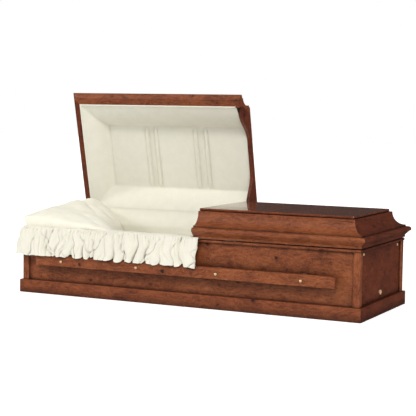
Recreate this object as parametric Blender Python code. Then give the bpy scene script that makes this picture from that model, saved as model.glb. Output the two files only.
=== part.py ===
"""A half-couch wooden casket, its head lid open and its foot lid closed.

X runs from the head (-X) to the foot (+X), Y from the front (-Y) to the hinged back (+Y), Z up.
The origin is at the centre of the underside. Lengths are in metres.

Most pieces run round the casket, so their sections are written as (out, z) points: out is the
distance beyond the faces of the corner posts, and z the height above the floor.
"""

import math

import bmesh
import bpy
from mathutils import Vector

# Gap between pieces that touch
GAP = 0.0003

# Body: plinth, panels, corner posts, rim and bottom board
BODY_LENGTH = 2.080
BODY_WIDTH = 0.750
BODY_HEIGHT = 0.374
PLINTH_HEIGHT = 0.074
PLINTH_PROUD = 0.013
PLINTH_ROUND = 0.004
POST_WIDTH = 0.040
POST_PROUD = 0.012
POST_ROUND = 0.007
PANEL_THICK = 0.022
RIM_HEIGHT = 0.018
RIM_PROUD = 0.004
BOTTOM_THICK = 0.018

# Lids: the open line above the rim, and the moulding from its underside up
PARTING_LINE = 0.004
LID_SPLIT_X = 0.0765
LID_SPLIT_GAP = 0.003
LID_RIM_WIDTH = 0.036
FILLET_PROUD = 0.006
FILLET_HEIGHT = 0.012
NOSE_PROUD = 0.0325
NOSE_RADIUS = 0.015
NOSE_CENTRE_RISE = 0.0435
STEP_PROUD = 0.007
STEP_HEIGHT = 0.0095
COVE_DEPTH = 0.060
COVE_HEIGHT = 0.074
COVE_WALL = 0.018
TOP_INSET = 0.066
TOP_SEAT = 0.024
TOP_THICK = 0.0147
TOP_ROUND = 0.004

# Header boards that close the lids' cut ends
HEADER_THICK = 0.020
ARCH_LEG_RISE = 0.032
ARCH_CROWN_THICK = 0.018
ARCH_FLAT_HALF = 0.100
ARCH_FOOT_HALF = 0.290

# Hinges: one long hinge for each lid, under the nose of the back moulding
LID_OPEN_DEG = 77.0
HINGE_OUT = 0.0145
HINGE_RISE = 0.026
HINGE_REBATE_HEIGHT = 0.034
HINGE_END_MARGIN = 0.080
BARREL_RADIUS = 0.0048
LEAF_THICK = 0.002
BODY_LEAF_HEIGHT = 0.050
LID_LEAF_WIDTH = 0.020
KNUCKLE_COUNT = 7
KNUCKLE_GAP = 0.0008
KNUCKLE_WEB = 0.003

# Handle bars and what holds them
BAR_END_INSET = 0.119
BAR_HEIGHT = 0.062
BAR_THICK = 0.022
BAR_EDGE = 0.009
BAR_BELOW_RIM = 0.156
BAR_STAND_OFF = 0.036
ARM_END_INSET = 0.178
ARM_COUNT = 4
ARM_SHIFT = 0.009
ARM_DROP = 0.003
ARM_FLANGE_RADIUS = 0.034
ARM_FLANGE_THICK = 0.007
ARM_NECK_RADIUS = 0.013
BOLT_RADIUS = 0.004
BOLT_HOLE_RADIUS = 0.0046
BOLT_DEPTH = 0.014
BOLT_CAP_RADIUS = 0.0076
BOLT_CAP_HEIGHT = 0.0055

# Fittings on the foot end
SCREW_INSET = 0.082
SCREW_BELOW_RIM = 0.014
SCREW_HEAD_RADIUS = 0.008
SCREW_HEAD_HEIGHT = 0.004
SCREW_SHANK_RADIUS = 0.003
SCREW_LENGTH = 0.014
CAP_ABOVE_PLINTH = 0.037
CAP_RADIUS = 0.013
CAP_HEIGHT = 0.006
CAP_TUBE_RADIUS = 0.009
CAP_TUBE_LENGTH = 0.015

# Soft furnishings
LINING_THICK = 0.008
LID_LINING_RECESS = 0.004
LID_LINING_SIDE = 0.146
LID_LINING_END = 0.112
LID_LINING_RISE = 0.120
MATTRESS_HEIGHT = 0.236
MATTRESS_ROUND = 0.020
SOFT_CLEARANCE = 0.0015
PILLOW_LENGTH = 0.500
PILLOW_SIDE_GAP = 0.0157
PILLOW_CROWN = 0.226
PILLOW_SEAM = 0.085
CLOTH_THICK = 0.0028
SKIRT_DROP = 0.136
SKIRT_OUT = 0.011
SKIRT_WAVE = 0.0035
SKIRT_PITCH = 0.052
SKIRT_SCALLOP = 0.005
SKIRT_FRONT_END_X = 0.092
SKIRT_HEAD_END_Y = 0.250
SKIRT_CORNER_ROOM = 0.062
SKIRT_CORNER_ROUND = 0.001
SKIRT_INNER_DROP = 0.070

# Values worked out from those above
POST_HALF_LENGTH = BODY_LENGTH / 2 - PLINTH_PROUD
POST_HALF_WIDTH = BODY_WIDTH / 2 - PLINTH_PROUD
PANEL_OUT = -POST_PROUD
PANEL_IN = PANEL_OUT - PANEL_THICK
POST_IN = -POST_WIDTH
RIM_BOTTOM = BODY_HEIGHT - RIM_HEIGHT
LID_BOTTOM = BODY_HEIGHT + PARTING_LINE
NOSE_CENTRE_OUT = NOSE_PROUD - NOSE_RADIUS
NOSE_CENTRE_Z = LID_BOTTOM + NOSE_CENTRE_RISE
STEP_TOP = NOSE_CENTRE_Z + NOSE_RADIUS + STEP_HEIGHT
CROWN_TOP = STEP_TOP + COVE_HEIGHT
SEAT_OUT = -TOP_INSET - TOP_SEAT
HINGE_Y = POST_HALF_WIDTH + HINGE_OUT
HINGE_Z = BODY_HEIGHT + HINGE_RISE
BACK_FILLET_PROUD = RIM_PROUD
BODY_LINING_OUT = POST_IN - GAP
BODY_LINING_IN = BODY_LINING_OUT - LINING_THICK
MATTRESS_TOP = BOTTOM_THICK + GAP + MATTRESS_HEIGHT
BAR_CENTRE_Z = RIM_BOTTOM - BAR_BELOW_RIM
BAR_HALF_LENGTH = POST_HALF_LENGTH - BAR_END_INSET
ARM_Z = BAR_CENTRE_Z - ARM_DROP
BAR_FACE_OUT = PANEL_OUT + BAR_STAND_OFF + BAR_THICK
LID_LINING_Z = LID_BOTTOM + LID_LINING_RECESS

SIDES = ("front", "back", "head", "foot")
LONG_SIDES = ("front", "back")


def clear_scene():
    for obj in list(bpy.data.objects):
        bpy.data.objects.remove(obj, do_unlink=True)


def material(name, colour, roughness, metallic=0.0):
    made = bpy.data.materials.new(name)
    made.use_nodes = True
    shader = made.node_tree.nodes["Principled BSDF"]
    shader.inputs["Base Color"].default_value = (*colour, 1.0)
    shader.inputs["Roughness"].default_value = roughness
    shader.inputs["Metallic"].default_value = metallic
    made.diffuse_color = (*colour, 1.0)
    return made


def finish(name, bm, mat, pivot=None):
    """Turns a closed bmesh into a named object, under the lid's pivot if one is given."""
    bmesh.ops.recalc_face_normals(bm, faces=bm.faces)
    mesh = bpy.data.meshes.new(name)
    if pivot:
        bmesh.ops.translate(bm, verts=bm.verts, vec=-Vector((0.0, HINGE_Y, HINGE_Z)))
    bm.to_mesh(mesh)
    bm.free()
    mesh.materials.append(mat)
    obj = bpy.data.objects.new(name, mesh)
    bpy.context.scene.collection.objects.link(obj)
    obj.parent = pivot
    return obj


def smooth(obj, degrees=35.0):
    obj.data.shade_smooth()
    obj.data.set_sharp_from_angle(angle=math.radians(degrees))


def bevel(obj, width, segments=2):
    modifier = obj.modifiers.new("round", "BEVEL")
    modifier.width = width
    modifier.segments = segments
    modifier.limit_method = "ANGLE"


def boolean(obj, other, operation="DIFFERENCE"):
    modifier = obj.modifiers.new("join" if operation == "UNION" else "cut", "BOOLEAN")
    modifier.operation = operation
    modifier.object = other
    modifier.solver = "EXACT"


def helper(obj):
    """Keeps a cutter or a joined shape out of the finished casket."""
    obj.hide_render = True
    obj.display_type = "WIRE"
    return obj


def loft(bm, rings):
    """A closed solid through rings of equal length, with flat ends."""
    loops = [[bm.verts.new(point) for point in ring] for ring in rings]
    count = len(loops[0])
    for low, high in zip(loops, loops[1:]):
        for i in range(count):
            j = (i + 1) % count
            bm.faces.new((low[i], low[j], high[j], high[i]))
    bm.faces.new(loops[0][::-1])
    bm.faces.new(loops[-1])


def arc(centre, radii, start, end, steps):
    """Points on an ellipse from start to end degrees, both ends included."""
    points = []
    for k in range(steps + 1):
        angle = math.radians(start + (end - start) * k / steps)
        points.append((centre[0] + radii[0] * math.cos(angle), centre[1] + radii[1] * math.sin(angle)))
    return points


def on_side(side, along, out, z):
    """The place of a section's point on one side of the casket."""
    if side == "front":
        return Vector((along, -POST_HALF_WIDTH - out, z))
    if side == "back":
        return Vector((along, POST_HALF_WIDTH + out, z))
    if side == "head":
        return Vector((-POST_HALF_LENGTH - out, along, z))
    return Vector((POST_HALF_LENGTH + out, along, z))


def moulding(name, side, section, mat, low=None, high=None, pivot=None):
    """A piece with one section along a side. An end with no place given is mitred at its corner."""
    half = POST_HALF_LENGTH if side in LONG_SIDES else POST_HALF_WIDTH

    def ring(sign, place):
        ends = [place if place is not None else sign * (half + out - GAP) for out, _ in section]
        return [on_side(side, end, out, z) for end, (out, z) in zip(ends, section)]

    bm = bmesh.new()
    loft(bm, [ring(-1, low), ring(1, high)])
    obj = finish(name, bm, mat, pivot)
    smooth(obj)
    return obj


def box(name, low, high, mat, round_edges=0.0, pivot=None):
    bm = bmesh.new()
    bmesh.ops.create_cube(bm, size=1.0)
    size = Vector(high) - Vector(low)
    bmesh.ops.scale(bm, verts=bm.verts, vec=size)
    bmesh.ops.translate(bm, verts=bm.verts, vec=Vector(low) + size / 2)
    obj = finish(name, bm, mat, pivot)
    if round_edges:
        bevel(obj, round_edges)
        smooth(obj)
    return obj


def turned(name, profile, place, direction, mat, sides=16):
    """A turned piece: (radius, distance) points along direction from place."""
    turn = Vector((0, 0, 1)).rotation_difference(Vector(direction)).to_matrix()
    bm = bmesh.new()
    loops = []
    for radius, distance in profile:
        if radius == 0:
            loops.append([bm.verts.new(Vector(place) + turn @ Vector((0, 0, distance)))])
            continue
        ring = []
        for k in range(sides):
            angle = 2 * math.pi * k / sides
            point = Vector((radius * math.cos(angle), radius * math.sin(angle), distance))
            ring.append(bm.verts.new(Vector(place) + turn @ point))
        loops.append(ring)
    for a, b in zip(loops, loops[1:]):
        for k in range(sides):
            j = (k + 1) % sides
            if len(a) == 1:
                bm.faces.new((a[0], b[j], b[k]))
            elif len(b) == 1:
                bm.faces.new((a[k], a[j], b[0]))
            else:
                bm.faces.new((a[k], a[j], b[j], b[k]))
    for loop in (loops[0], loops[-1]):
        if len(loop) > 1:
            bm.faces.new(loop)
    obj = finish(name, bm, mat)
    smooth(obj)
    return obj


def make_plinth(wood):
    edge = PLINTH_PROUD
    centre = (edge - PLINTH_ROUND, PLINTH_HEIGHT - PLINTH_ROUND)
    section = [(PANEL_IN, 0.0), (edge, 0.0)]
    section += arc(centre, (PLINTH_ROUND, PLINTH_ROUND), 0, 90, 3)
    section += [(PANEL_IN, PLINTH_HEIGHT)]
    for side in SIDES:
        moulding(f"plinth_{side}", side, section, wood)


def make_bottom(wood):
    half_length = POST_HALF_LENGTH + PANEL_IN - GAP
    half_width = POST_HALF_WIDTH + PANEL_IN - GAP
    box("bottom_board", (-half_length, -half_width, 0.0), (half_length, half_width, BOTTOM_THICK), wood)


def make_panels(wood):
    section = [(PANEL_IN, PLINTH_HEIGHT + GAP), (PANEL_OUT, PLINTH_HEIGHT + GAP)]
    section += [(PANEL_OUT, RIM_BOTTOM - GAP), (PANEL_IN, RIM_BOTTOM - GAP)]
    panels = {}
    for side in SIDES:
        half = POST_HALF_LENGTH if side in LONG_SIDES else POST_HALF_WIDTH
        reach = half - POST_WIDTH - GAP
        panels[side] = moulding(f"panel_{side}", side, section, wood, -reach, reach)
    return panels


def make_posts(wood):
    """Square corner posts, with a rounded edge towards each panel they meet and at the corner."""
    for x_sign, x_name in ((-1, "head"), (1, "foot")):
        for y_sign, y_name in ((-1, "front"), (1, "back")):
            outer_x, outer_y = POST_HALF_LENGTH, POST_HALF_WIDTH
            inner_x, inner_y = outer_x - POST_WIDTH, outer_y - POST_WIDTH
            radii = (POST_ROUND, POST_ROUND)
            outline = [(inner_x, inner_y), (outer_x - POST_PROUD, inner_y)]
            outline += arc((outer_x - POST_ROUND, inner_y + POST_ROUND), radii, -90, 0, 3)
            corner = (outer_x - PLINTH_ROUND, outer_y - PLINTH_ROUND)
            outline += arc(corner, (PLINTH_ROUND, PLINTH_ROUND), 0, 90, 2)
            outline += arc((inner_x + POST_ROUND, outer_y - POST_ROUND), radii, 90, 180, 3)
            bm = bmesh.new()
            heights = (PLINTH_HEIGHT + GAP, RIM_BOTTOM - GAP)
            loft(bm, [[Vector((x_sign * x, y_sign * y, z)) for x, y in outline] for z in heights])
            smooth(finish(f"post_{y_name}_{x_name}", bm, wood))


def make_rim(wood):
    radius = RIM_HEIGHT / 2
    section = [(POST_IN, RIM_BOTTOM)]
    section += arc((RIM_PROUD - radius, RIM_BOTTOM + radius), (radius, radius), -90, 90, 6)
    section += [(POST_IN, BODY_HEIGHT)]
    for side in SIDES:
        moulding(f"rim_{side}", side, section, wood)


def crown_section(hinged):
    """A lid's moulding: fillet, nose, step and cove outside, and a straight wall inside."""
    bottom = LID_BOTTOM
    centre = (NOSE_CENTRE_OUT, NOSE_CENTRE_Z)
    radii = (NOSE_RADIUS, NOSE_RADIUS)
    if hinged:
        ceiling = bottom + HINGE_REBATE_HEIGHT
        start = math.degrees(math.asin((ceiling - NOSE_CENTRE_Z) / NOSE_RADIUS))
        section = [(BACK_FILLET_PROUD, bottom), (BACK_FILLET_PROUD, ceiling)]
        section += arc(centre, radii, start, 90, 6)
    else:
        section = [(FILLET_PROUD, bottom), (FILLET_PROUD, bottom + FILLET_HEIGHT)]
        section += arc(centre, radii, -45, 90, 7)
    section += [(STEP_PROUD, NOSE_CENTRE_Z + NOSE_RADIUS)]
    section += arc((STEP_PROUD, CROWN_TOP), (COVE_DEPTH, COVE_HEIGHT), 270, 180, 8)
    wall_foot = STEP_TOP - COVE_WALL
    section += [(SEAT_OUT, CROWN_TOP), (SEAT_OUT, CROWN_TOP - COVE_WALL)]
    section += [(-LID_RIM_WIDTH, wall_foot), (-LID_RIM_WIDTH, bottom)]
    return section


def lid_span(lid):
    """The lid's cut end along X, and the sign of the direction from there to its mitred end."""
    sign = 1 if lid == "foot" else -1
    return LID_SPLIT_X + sign * LID_SPLIT_GAP / 2, sign


def make_crown(lid, wood, pivot):
    cut, sign = lid_span(lid)
    low, high = (cut, None) if sign > 0 else (None, cut)
    for side in LONG_SIDES:
        section = crown_section(side == "back")
        moulding(f"{lid}_lid_moulding_{side}", side, section, wood, low, high, pivot)
    make_end_moulding(lid, wood, pivot)


def make_end_moulding(lid, wood, pivot):
    """The end moulding, cut away where the back's hinge rebate runs on past the corner."""
    section = crown_section(False)
    obj = moulding(f"{lid}_lid_moulding_end", lid, section, wood, None, None, pivot)
    clearance = POST_HALF_WIDTH + BACK_FILLET_PROUD - GAP
    cutter = box(
        f"{lid}_rebate_cutter",
        (-BODY_LENGTH, clearance, LID_BOTTOM - PARTING_LINE),
        (BODY_LENGTH, BODY_WIDTH, LID_BOTTOM + HINGE_REBATE_HEIGHT),
        wood,
        pivot=pivot,
    )
    boolean(obj, helper(cutter))


def make_top(lid, wood, pivot):
    cut, sign = lid_span(lid)
    end = sign * (POST_HALF_LENGTH - TOP_INSET)
    half = POST_HALF_WIDTH - TOP_INSET
    low, high = sorted((cut, end))
    bottom = CROWN_TOP + GAP
    size = ((low, -half, bottom), (high, half, bottom + TOP_THICK))
    box(f"{lid}_lid_top", *size, wood, TOP_ROUND, pivot)


def arch_height(y):
    """The lower edge of a header board: legs at the sides, rising in an ogee to a flat crown."""
    low = LID_BOTTOM + ARCH_LEG_RISE
    high = CROWN_TOP - ARCH_CROWN_THICK
    share = (abs(y) - ARCH_FLAT_HALF) / (ARCH_FOOT_HALF - ARCH_FLAT_HALF)
    share = min(max(share, 0.0), 1.0)
    return low + (high - low) * (1 + math.cos(math.pi * share)) / 2


def make_header(lid, wood, pivot):
    cut, sign = lid_span(lid)
    wall_foot = STEP_TOP - COVE_WALL
    wide = POST_HALF_WIDTH - LID_RIM_WIDTH - GAP
    narrow = POST_HALF_WIDTH + SEAT_OUT - GAP
    shoulder = CROWN_TOP - COVE_WALL
    outline = [(wide, wall_foot - GAP), (narrow, shoulder), (narrow, CROWN_TOP - GAP)]
    outline += [(-y, z) for y, z in reversed(outline)]
    steps = 32
    across = [-wide + 2 * wide * k / steps for k in range(steps + 1)]
    outline += [(y, arch_height(y)) for y in across]
    bm = bmesh.new()
    loft(bm, [[Vector((x, y, z)) for y, z in outline] for x in (cut, cut + sign * HEADER_THICK)])
    smooth(finish(f"{lid}_lid_header", bm, wood, pivot))


def make_lid_lining(lid, cloth, pivot):
    """A padded shell that swells inwards from the lid's rim to a flat panel under its top."""
    cut, sign = lid_span(lid)
    shares = [(0.0, 0.0), (0.18, 0.10), (0.40, 0.24), (0.60, 0.42), (0.80, 0.66), (1.0, 1.0)]
    steps = len(shares)
    end = sign * (POST_HALF_LENGTH - LID_RIM_WIDTH - GAP)
    half = POST_HALF_WIDTH - LID_RIM_WIDTH - GAP
    xs = [end - sign * LID_LINING_END * share for share, _ in shares]
    xs += [cut + sign * (HEADER_THICK + GAP)]
    ys = [-half + LID_LINING_SIDE * share for share, _ in shares]
    ys += [-y for y in reversed(ys)]
    bm = bmesh.new()
    grids = []
    for lift in (0.0, LINING_THICK):
        grid = []
        for i, x in enumerate(xs):
            row = []
            for j, y in enumerate(ys):
                k = min(i, j, len(ys) - 1 - j, steps - 1)
                z = LID_LINING_Z + LID_LINING_RISE * shares[k][1] + lift
                row.append(bm.verts.new((x, y, z)))
            grid.append(row)
        grids.append(grid)
    last_x, last_y = len(xs) - 1, len(ys) - 1
    for grid in grids:
        for i in range(last_x):
            for j in range(last_y):
                bm.faces.new((grid[i][j], grid[i + 1][j], grid[i + 1][j + 1], grid[i][j + 1]))
    border = [(i, 0) for i in range(last_x)] + [(last_x, j) for j in range(last_y)]
    border += [(i, last_y) for i in range(last_x, 0, -1)] + [(0, j) for j in range(last_y, 0, -1)]
    for (i, j), (p, q) in zip(border, border[1:] + border[:1]):
        bm.faces.new((grids[0][i][j], grids[0][p][q], grids[1][p][q], grids[1][i][j]))
    smooth(finish(f"{lid}_lid_lining", bm, cloth, pivot))


def knuckle_spans(lid):
    """The X spans of the hinge's knuckles, in order from its low end."""
    cut, sign = lid_span(lid)
    end = sign * (POST_HALF_LENGTH - HINGE_END_MARGIN)
    low, high = sorted((cut + sign * HINGE_END_MARGIN, end))
    pitch = (high - low) / KNUCKLE_COUNT
    starts = [low + pitch * k + KNUCKLE_GAP / 2 for k in range(KNUCKLE_COUNT)]
    return [(start, start + pitch - KNUCKLE_GAP) for start in starts]


def knuckles(name, spans, web, metal, pivot=None):
    """Barrel pieces with the webs that join them to a leaf, as one shape for a union."""
    bm = bmesh.new()
    for low, high in spans:
        ring = arc((HINGE_Y, HINGE_Z), (BARREL_RADIUS, BARREL_RADIUS), *web["arc"], 10) + web["points"]
        loft(bm, [[Vector((x, y, z)) for y, z in ring] for x in (low, high)])
    return helper(finish(name, bm, metal, pivot))


def make_hinge(lid, metal, pivot):
    spans = knuckle_spans(lid)
    low, high = spans[0][0], spans[-1][1]
    half_web = KNUCKLE_WEB / 2
    tilt = math.degrees(math.asin(half_web / BARREL_RADIUS))

    leaf_y = POST_HALF_WIDTH + RIM_PROUD + GAP
    leaf_top = HINGE_Z + half_web
    size = ((low, leaf_y, leaf_top - BODY_LEAF_HEIGHT), (high, leaf_y + LEAF_THICK, leaf_top))
    body_leaf = box(f"{lid}_hinge_body_leaf", *size, metal)
    inside = leaf_y + LEAF_THICK / 2
    web = {
        "arc": (-180 + tilt, 180 - tilt),
        "points": [(inside, HINGE_Z + half_web), (inside, HINGE_Z - half_web)],
    }
    boolean(body_leaf, knuckles(f"{lid}_body_knuckles", spans[::2], web, metal), "UNION")

    ceiling = LID_BOTTOM + HINGE_REBATE_HEIGHT - GAP
    size = ((low, leaf_y, ceiling - LEAF_THICK), (high, leaf_y + LID_LEAF_WIDTH, ceiling))
    lid_leaf = box(f"{lid}_hinge_lid_leaf", *size, metal, pivot=pivot)
    inside = ceiling - LEAF_THICK / 2
    web = {
        "arc": (90 + tilt, 450 - tilt),
        "points": [(HINGE_Y + half_web, inside), (HINGE_Y - half_web, inside)],
    }
    boolean(lid_leaf, knuckles(f"{lid}_lid_knuckles", spans[1::2], web, metal, pivot), "UNION")


def make_lid(lid, open_deg, wood, cloth, metal):
    pivot = bpy.data.objects.new(f"{lid}_lid_pivot", None)
    pivot.location = (0.0, HINGE_Y, HINGE_Z)
    pivot.rotation_euler = (math.radians(-open_deg), 0.0, 0.0)
    bpy.context.scene.collection.objects.link(pivot)
    make_crown(lid, wood, pivot)
    make_top(lid, wood, pivot)
    make_header(lid, wood, pivot)
    make_lid_lining(lid, cloth, pivot)
    make_hinge(lid, metal, pivot)


def arm_places():
    """The X of each arm. The row sits a little towards the head, as the bolts do."""
    reach = BAR_HALF_LENGTH - ARM_END_INSET
    return [-reach - ARM_SHIFT + 2 * reach * k / (ARM_COUNT - 1) for k in range(ARM_COUNT)]


def bolt_hole_cutter(side, outward, panel_face):
    """All the bolt holes of one side, through the bar and its arms and into the panel."""
    bm = bmesh.new()
    start = panel_face - outward * BOLT_DEPTH
    length = BOLT_DEPTH + BAR_STAND_OFF + 2 * BAR_THICK
    for x in arm_places():
        circle = arc((x, ARM_Z), (BOLT_HOLE_RADIUS, BOLT_HOLE_RADIUS), 0, 330, 11)
        loft(bm, [[Vector((px, y, pz)) for px, pz in circle] for y in (start, start + outward * length)])
    return helper(finish(f"bolt_holes_{side}", bm, bpy.data.materials["brass"]))


def make_handle(side, panel, wood, brass):
    outward = -1 if side == "front" else 1
    face_y = outward * (POST_HALF_WIDTH + BAR_FACE_OUT)
    panel_face = outward * (POST_HALF_WIDTH + PANEL_OUT)
    holes = bolt_hole_cutter(side, outward, panel_face)
    boolean(panel, holes)

    back_out = BAR_FACE_OUT - BAR_THICK
    low, high = BAR_CENTRE_Z - BAR_HEIGHT / 2, BAR_CENTRE_Z + BAR_HEIGHT / 2
    edge = (BAR_EDGE, BAR_EDGE)
    small = (BAR_EDGE / 3, BAR_EDGE / 3)
    section = arc((BAR_FACE_OUT - small[0], low + small[1]), small, -90, 0, 2)
    section += arc((BAR_FACE_OUT - edge[0], high - edge[1]), edge, 0, 90, 4)
    section += arc((back_out + small[0], high - small[1]), small, 90, 180, 2)
    section += arc((back_out + small[0], low + small[1]), small, 180, 270, 2)
    bar = moulding(f"handle_bar_{side}", side, section, wood, -BAR_HALF_LENGTH, BAR_HALF_LENGTH)
    boolean(bar, holes)

    length = BAR_STAND_OFF - 2 * GAP
    flange = ARM_FLANGE_THICK
    arm_profile = [
        (ARM_FLANGE_RADIUS, 0.0),
        (ARM_FLANGE_RADIUS, flange * 0.6),
        (ARM_FLANGE_RADIUS * 0.86, flange),
        (ARM_NECK_RADIUS * 1.25, flange * 1.4),
        (ARM_NECK_RADIUS, length * 0.5),
        (ARM_NECK_RADIUS, length),
    ]
    cap = BOLT_CAP_RADIUS
    under_cap = BAR_THICK + BAR_STAND_OFF + GAP
    bolt_profile = [
        (BOLT_RADIUS, GAP - BOLT_DEPTH),
        (BOLT_RADIUS, under_cap),
        (cap, under_cap),
        (cap, under_cap + BOLT_CAP_HEIGHT * 0.35),
        (cap * 0.8, under_cap + BOLT_CAP_HEIGHT * 0.75),
        (cap * 0.4, under_cap + BOLT_CAP_HEIGHT * 0.97),
        (0, under_cap + BOLT_CAP_HEIGHT),
    ]
    for k, x in enumerate(arm_places(), 1):
        place = (x, panel_face + outward * GAP, ARM_Z)
        arm = turned(f"handle_arm_{side}_{k}", arm_profile, place, (0, outward, 0), wood)
        boolean(arm, holes)
        place = (x, panel_face, ARM_Z)
        turned(f"handle_bolt_{side}_{k}", bolt_profile, place, (0, outward, 0), brass, sides=12)


def make_foot_fittings(panel, brass):
    """Two round-headed screws under the rim and the cap of a small tube above the plinth."""
    face = POST_HALF_LENGTH + PANEL_OUT
    head = SCREW_HEAD_RADIUS
    screw_profile = [
        (SCREW_SHANK_RADIUS, GAP - SCREW_LENGTH),
        (SCREW_SHANK_RADIUS, GAP),
        (head, GAP),
        (head * 0.94, GAP + SCREW_HEAD_HEIGHT * 0.4),
        (head * 0.6, GAP + SCREW_HEAD_HEIGHT * 0.85),
        (0, GAP + SCREW_HEAD_HEIGHT),
    ]
    cap_profile = [
        (CAP_TUBE_RADIUS, GAP - CAP_TUBE_LENGTH),
        (CAP_TUBE_RADIUS, GAP),
        (CAP_RADIUS, GAP),
        (CAP_RADIUS, CAP_HEIGHT * 0.7),
        (CAP_RADIUS * 0.8, CAP_HEIGHT),
        (CAP_RADIUS * 0.45, CAP_HEIGHT),
        (CAP_RADIUS * 0.4, CAP_HEIGHT * 0.7),
    ]
    screw_y = POST_HALF_WIDTH - SCREW_INSET
    screw_z = RIM_BOTTOM - SCREW_BELOW_RIM
    cap_z = PLINTH_HEIGHT + CAP_ABOVE_PLINTH
    fittings = [
        ("foot_screw_front", screw_profile, -screw_y, screw_z, SCREW_SHANK_RADIUS, SCREW_LENGTH),
        ("foot_screw_back", screw_profile, screw_y, screw_z, SCREW_SHANK_RADIUS, SCREW_LENGTH),
        ("foot_tube_cap", cap_profile, 0.0, cap_z, CAP_TUBE_RADIUS, CAP_TUBE_LENGTH),
    ]
    for name, profile, y, z, radius, depth in fittings:
        turned(name, profile, (face, y, z), (1, 0, 0), brass)
        bore = radius + 2 * GAP
        hole_profile = [(bore, -depth), (bore, depth)]
        hole = turned(f"{name}_hole", hole_profile, (face, y, z), (1, 0, 0), brass)
        boolean(panel, helper(hole))


def make_body_lining(cloth):
    """A padded ring round the inside of the panels, open above and below."""
    bm = bmesh.new()
    rings = []
    for out in (BODY_LINING_OUT, BODY_LINING_IN):
        x, y = POST_HALF_LENGTH + out, POST_HALF_WIDTH + out
        for z in (BOTTOM_THICK + GAP, BODY_HEIGHT - GAP):
            corners = ((-x, -y), (x, -y), (x, y), (-x, y))
            rings.append([bm.verts.new((*corner, z)) for corner in corners])
    outer_low, outer_high, inner_low, inner_high = rings
    loops = [outer_low, outer_high, inner_high, inner_low, outer_low]
    for a, b in zip(loops, loops[1:]):
        for k in range(4):
            j = (k + 1) % 4
            bm.faces.new((a[k], a[j], b[j], b[k]))
    finish("body_lining", bm, cloth)


def make_mattress(cloth):
    half_length = POST_HALF_LENGTH + BODY_LINING_IN - SOFT_CLEARANCE
    half_width = POST_HALF_WIDTH + BODY_LINING_IN - SOFT_CLEARANCE
    bottom = BOTTOM_THICK + GAP
    size = ((-half_length, -half_width, bottom), (half_length, half_width, MATTRESS_TOP))
    box("mattress", *size, cloth, MATTRESS_ROUND)


def make_pillow(cloth):
    """A crowned pillow at the head end: flat below, with a rounded seam line part way up."""
    cloth_room = SOFT_CLEARANCE * 2 + CLOTH_THICK * 3
    head_x = -(POST_HALF_LENGTH + BODY_LINING_IN) + cloth_room
    centre = Vector((head_x + PILLOW_LENGTH / 2, 0.0, MATTRESS_TOP + GAP))
    half_x = PILLOW_LENGTH / 2
    half_y = POST_HALF_WIDTH + BODY_LINING_IN - PILLOW_SIDE_GAP
    around, levels = 32, 7
    bm = bmesh.new()
    loops = []
    for level in range(-2, levels):
        if level <= 0:
            spread = 1.0 - 0.10 * (level / 2) ** 2
            z = PILLOW_SEAM * (level + 2) / 2
        else:
            angle = math.pi / 2 * level / levels
            spread = math.cos(angle)
            z = PILLOW_SEAM + (PILLOW_CROWN - PILLOW_SEAM) * math.sin(angle)
        ring = []
        for k in range(around):
            angle = 2 * math.pi * k / around
            c, s = math.cos(angle), math.sin(angle)
            x = half_x * spread * math.copysign(abs(c) ** 0.5, c)
            y = half_y * spread * math.copysign(abs(s) ** 0.5, s)
            ring.append(bm.verts.new(centre + Vector((x, y, z))))
        loops.append(ring)
    for a, b in zip(loops, loops[1:]):
        for k in range(around):
            j = (k + 1) % around
            bm.faces.new((a[k], a[j], b[j], b[k]))
    bm.faces.new(loops[0])
    top = bm.verts.new(centre + Vector((0, 0, PILLOW_CROWN)))
    for k in range(around):
        bm.faces.new((loops[-1][k], loops[-1][(k + 1) % around], top))
    smooth(finish("pillow", bm, cloth), 60.0)


def skirt_stations():
    """Stations round the rim, each a run along it and a function from (out, z) to a point."""
    corner_x, corner_y = -POST_HALF_LENGTH, -POST_HALF_WIDTH
    room = SKIRT_CORNER_ROOM
    step = SKIRT_PITCH / 4
    front_run = SKIRT_FRONT_END_X - corner_x - room
    head_run = SKIRT_HEAD_END_Y - corner_y - room
    turn_count = 9
    stations = []

    def straight_front(x):
        return lambda out, z: Vector((x, corner_y - out, z))

    def straight_head(y):
        return lambda out, z: Vector((corner_x - out, y, z))

    def turn(share):
        def place(out, z):
            if out < 0:
                radius, centre, angle = room + out, room, math.pi / 2 * share
            elif share < 1 / 3:
                x = corner_x + room - (room - SKIRT_CORNER_ROUND) * 3 * share
                return straight_front(x)(out, z)
            elif share > 2 / 3:
                y = corner_y + SKIRT_CORNER_ROUND + (room - SKIRT_CORNER_ROUND) * (3 * share - 2)
                return straight_head(y)(out, z)
            else:
                radius, centre = SKIRT_CORNER_ROUND + out, SKIRT_CORNER_ROUND
                angle = math.pi / 2 * (3 * share - 1)
            x = corner_x + centre - radius * math.sin(angle)
            return Vector((x, corner_y + centre - radius * math.cos(angle), z))

        return place

    count = round(front_run / step)
    for k in range(count):
        run = front_run * k / count
        stations.append((run, straight_front(SKIRT_FRONT_END_X - run)))
    for k in range(turn_count):
        stations.append((front_run + 2 * room * k / turn_count, turn(k / turn_count)))
    count = round(head_run / step)
    for k in range(count + 1):
        run = head_run * k / count
        stations.append((front_run + 2 * room + run, straight_head(corner_y + room + run)))
    return stations


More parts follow.
